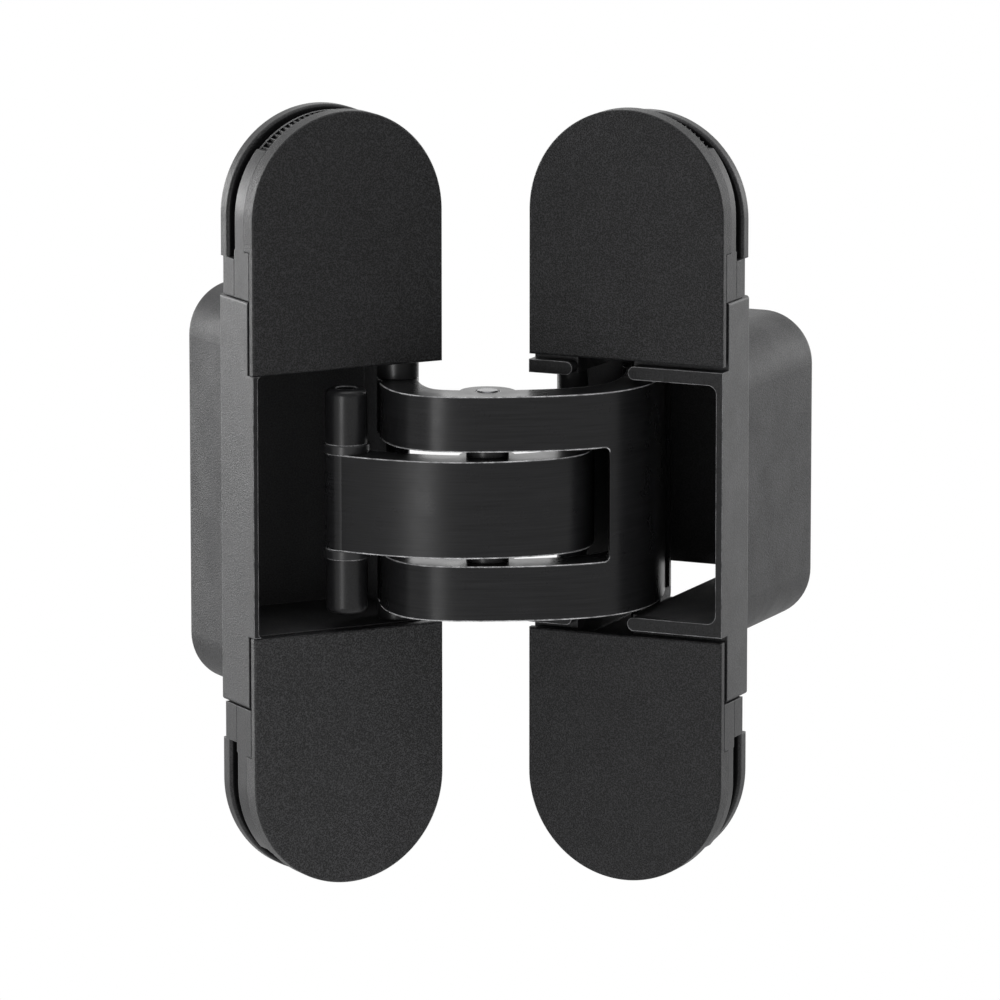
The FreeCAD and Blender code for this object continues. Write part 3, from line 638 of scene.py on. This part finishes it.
@dataclass
class Arms:
    """The two crossing arms with their pins, sleeves, washers and rollers.

    Attributes:
        arms: The forked arm and the centre arm.
        pins: Pins that are hidden in the arms for most of their length.
        sleeves: The front pin and the sleeves on it, which show.
        rings: Washers, spacers and rollers, one above and one below each arm.
        ends: Where a ring sits.
    """

    arms: tuple[str, ...] = ("fork_arm", "centre_arm")
    pins: tuple[str, ...] = ("centre_pin", "roller_pin")
    sleeves: tuple[str, ...] = ("front_pin", "upper_sleeve", "lower_sleeve")
    rings: tuple[str, ...] = ("centre_washer", "front_washer", "door_spacer", "frame_washer",
                              "roller")
    ends: tuple[str, str] = ("upper", "lower")

    def build(self, shop: Shop) -> None:
        """Dress the arms and what turns in them.

        Args:
            shop: Maker of the finishes.
        """
        for node in self.arms:
            # The arms get a painted highlight line along their top and bottom edges.
            shop.dress(node, DIPPED_ZINC_PAINTED_EDGES)
        for node in self.pins:
            shop.dress(node, BLACKENED_STEEL)
        for node in self.sleeves:
            # The front pin and sleeves get a painted highlight along their top and bottom edges.
            shop.dress(node, DIPPED_STEEL_PAINTED_EDGES)
        for ring in self.rings:
            for end in self.ends:
                shop.dress(f"{end}_{ring}", ACETAL)


@dataclass(frozen=True)
class SoftBox:
    """A square lamp that points at the hinge.

    Attributes:
        name: Lamp name.
        place: Position in the view's axes, from the centre pin.
        size: Width of the lamp.
        watts: Power.
    """

    name: str
    place: tuple[float, float, float]
    size: float
    watts: float

    def hang(self, axes: Matrix) -> None:
        """Hang the lamp.

        Args:
            axes: Axes of the view, at the centre pin.
        """
        data = bpy.data.lights.new(self.name, "AREA")
        data.size = self.size
        data.energy = self.watts
        lamp = bpy.data.objects.new(self.name, data)
        lamp.location = axes @ Vector(self.place)
        lamp.rotation_mode = "QUATERNION"
        aim = axes.translation - lamp.location
        lamp.rotation_quaternion = aim.to_track_quat("-Z", "Y")
        bpy.context.scene.collection.objects.link(lamp)


@dataclass
class Studio:
    """White studio with a floor below the hinge, soft boxes and the camera.

    Attributes:
        drop: Height of the hinge's lowest point above the floor.
        floor_half: Half the floor's width.
        turn: Direction of the camera from the hinge, degrees from -Y towards -X.
        rise: Height of the camera above the horizon, degrees.
        distance: Camera's distance from its target.
        target: Point that the camera looks at, right of the centre pin and above its middle.
        focal_mm: Focal length of the camera.
        sensor_mm: Width of its sensor.
        near: Distance at which the camera starts to see.
        far: Distance at which it stops.
        floor_colour: Colour of the floor's paper as sRGB hex.
        front_light: Strength of the room in front of the hinge.
        behind_light: Strength of the paper behind it.
        front_ends: Cosine with the view at which the light starts to rise.
        behind_starts: Cosine with the view at which it is at its full strength.
        lamps: The soft boxes.
    """

    drop: float = 120 * MM
    floor_half: float = 6.0
    turn: float = 27.6
    rise: float = 10.6
    distance: float = 1171 * MM
    target: tuple[float, float] = (1.77 * MM, 0.46 * MM)
    focal_mm: float = 297.2
    sensor_mm: float = 36.0
    near: float = 0.05
    far: float = 50.0
    floor_colour: str = "#e4e4e4"
    front_light: float = 0.55
    behind_light: float = 1.5
    front_ends: float = -0.55
    behind_starts: float = 0.45
    lamps: tuple[SoftBox, ...] = (
        SoftBox("left_soft_box", (-1.5, 1.1, -0.2), size=1.2, watts=40.0),
        SoftBox("right_soft_box", (1.5, 1.1, 0.1), size=1.2, watts=12.0),
        SoftBox("top_soft_box", (0.0, -0.25, 1.8), size=1.2, watts=10.0),
        SoftBox("low_left_strip", (-0.42, -0.84, -0.06), size=0.2, watts=2.0))

    def frame_of_view(self) -> Matrix:
        """Find the axes of the view: X right, Y away and Z up, at the centre pin.

        Returns:
            Matrix from those axes to the scene's.
        """
        low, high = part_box("centre_pin")
        centre = (Vector(low) + Vector(high)) / 2
        return Matrix.Translation(centre) @ Matrix.Rotation(-math.radians(self.turn), 4, "Z")

    def camera(self) -> None:
        """Put the camera where the photograph was taken."""
        rise = math.radians(self.rise)
        axes = self.frame_of_view()
        aim = Vector((self.target[0], 0, self.target[1]))
        back = Vector((0, -math.cos(rise), math.sin(rise)))
        data = bpy.data.cameras.new("camera")
        data.lens = self.focal_mm
        data.sensor_width = self.sensor_mm
        data.clip_start = self.near
        data.clip_end = self.far
        camera = bpy.data.objects.new("camera", data)
        camera.location = axes @ (aim + back * self.distance)
        looking = (axes.to_3x3() @ -back).to_track_quat("-Z", "Y")
        camera.rotation_mode = "QUATERNION"
        camera.rotation_quaternion = looking
        bpy.context.scene.collection.objects.link(camera)
        bpy.context.scene.camera = camera

    def floor(self) -> None:
        """Lay a pale floor that shows white and keeps the shadow."""
        half = self.floor_half
        z = CAD_BOX[0].z - self.drop
        mesh = bpy.data.meshes.new("floor")
        mesh.from_pydata([(-half, -half, z), (half, -half, z), (half, half, z), (-half, half, z)],
                         [], [(0, 1, 2, 3)])
        floor = bpy.data.objects.new("floor", mesh)
        bpy.context.scene.collection.objects.link(floor)
        paper = bpy.data.materials.new("white_paper")
        paper.use_nodes = True
        tree = paper.node_tree
        tree.nodes.clear()
        path = add_node(tree, "LightPath")
        shown = add_node(tree, "Math", {"operation": "MAXIMUM"}, {
            0: path.outputs["Is Camera Ray"], 1: path.outputs["Is Glossy Ray"]})
        seen = add_node(tree, "Math", {"operation": "MAXIMUM"}, {
            0: shown.outputs["Value"], 1: path.outputs["Is Transmission Ray"]})
        matt = add_node(tree, "BsdfDiffuse", None, {"Color": linear(self.floor_colour)})
        white = add_node(tree, "Emission", None, {"Color": WHITE, "Strength": 1.0})
        mix = add_node(tree, "MixShader", None, {
            "Fac": seen.outputs["Value"], 1: matt.outputs["BSDF"], 2: white.outputs["Emission"]})
        add_node(tree, "OutputMaterial", None, {"Surface": mix.outputs["Shader"]})
        mesh.materials.append(paper)

    def world(self) -> None:
        """Surround: white to the camera, bright paper behind the hinge and a dim room in front."""
        world = bpy.data.worlds.new("studio")
        bpy.context.scene.world = world
        world.use_nodes = True
        tree = world.node_tree
        tree.nodes.clear()
        away = self.frame_of_view().to_3x3() @ Vector((0, 1, 0))
        facing = add_node(tree, "VectorMath", {"operation": "DOT_PRODUCT"}, {
            0: add_node(tree, "TexCoord").outputs["Generated"], 1: away})
        level = add_node(tree, "MapRange", {"interpolation_type": "SMOOTHSTEP"}, {
            "Value": facing.outputs["Value"], "From Min": self.front_ends,
            "From Max": self.behind_starts, "To Min": self.front_light, "To Max": self.behind_light})
        camera = add_node(tree, "LightPath").outputs["Is Camera Ray"]
        strength = add_node(tree, "MixRGB", None, {
            "Fac": camera, "Color1": level.outputs["Result"], "Color2": WHITE})
        light = add_node(tree, "Background", None, {
            "Color": WHITE, "Strength": strength.outputs["Color"]})
        add_node(tree, "OutputWorld", None, {"Surface": light.outputs["Background"]})

    def build(self) -> None:
        """Set up the whole studio."""
        bpy.context.scene.view_settings.view_transform = "Standard"
        self.floor()
        self.world()
        for lamp in self.lamps:
            lamp.hang(self.frame_of_view())
        self.camera()


def main() -> None:
    """Dress the hinge and set up the studio."""
    logging.basicConfig(level=logging.INFO, format="%(name)s: %(message)s")
    shop = Shop()
    # The frame's upper cover and both door covers get darker copies of the moulding, as painted
    # shade.
    Leaf("frame", turn=0.0, rear_start=10.8 * MM, pocket_half_h=18.8 * MM,
         covers={"upper": FRAME_COVER_PAINTED_SHADE, "lower": MOULDED_ABS}).build(shop)
    Leaf("door", turn=52.0, rear_start=9.8 * MM, pocket_half_h=17.2 * MM,
         covers={"upper": DOOR_COVER_PAINTED_SHADE, "lower": DOOR_COVER_PAINTED_SHADE}).build(shop)
    Arms().build(shop)
    Studio().build()


if __name__ == "__main__":
    main()
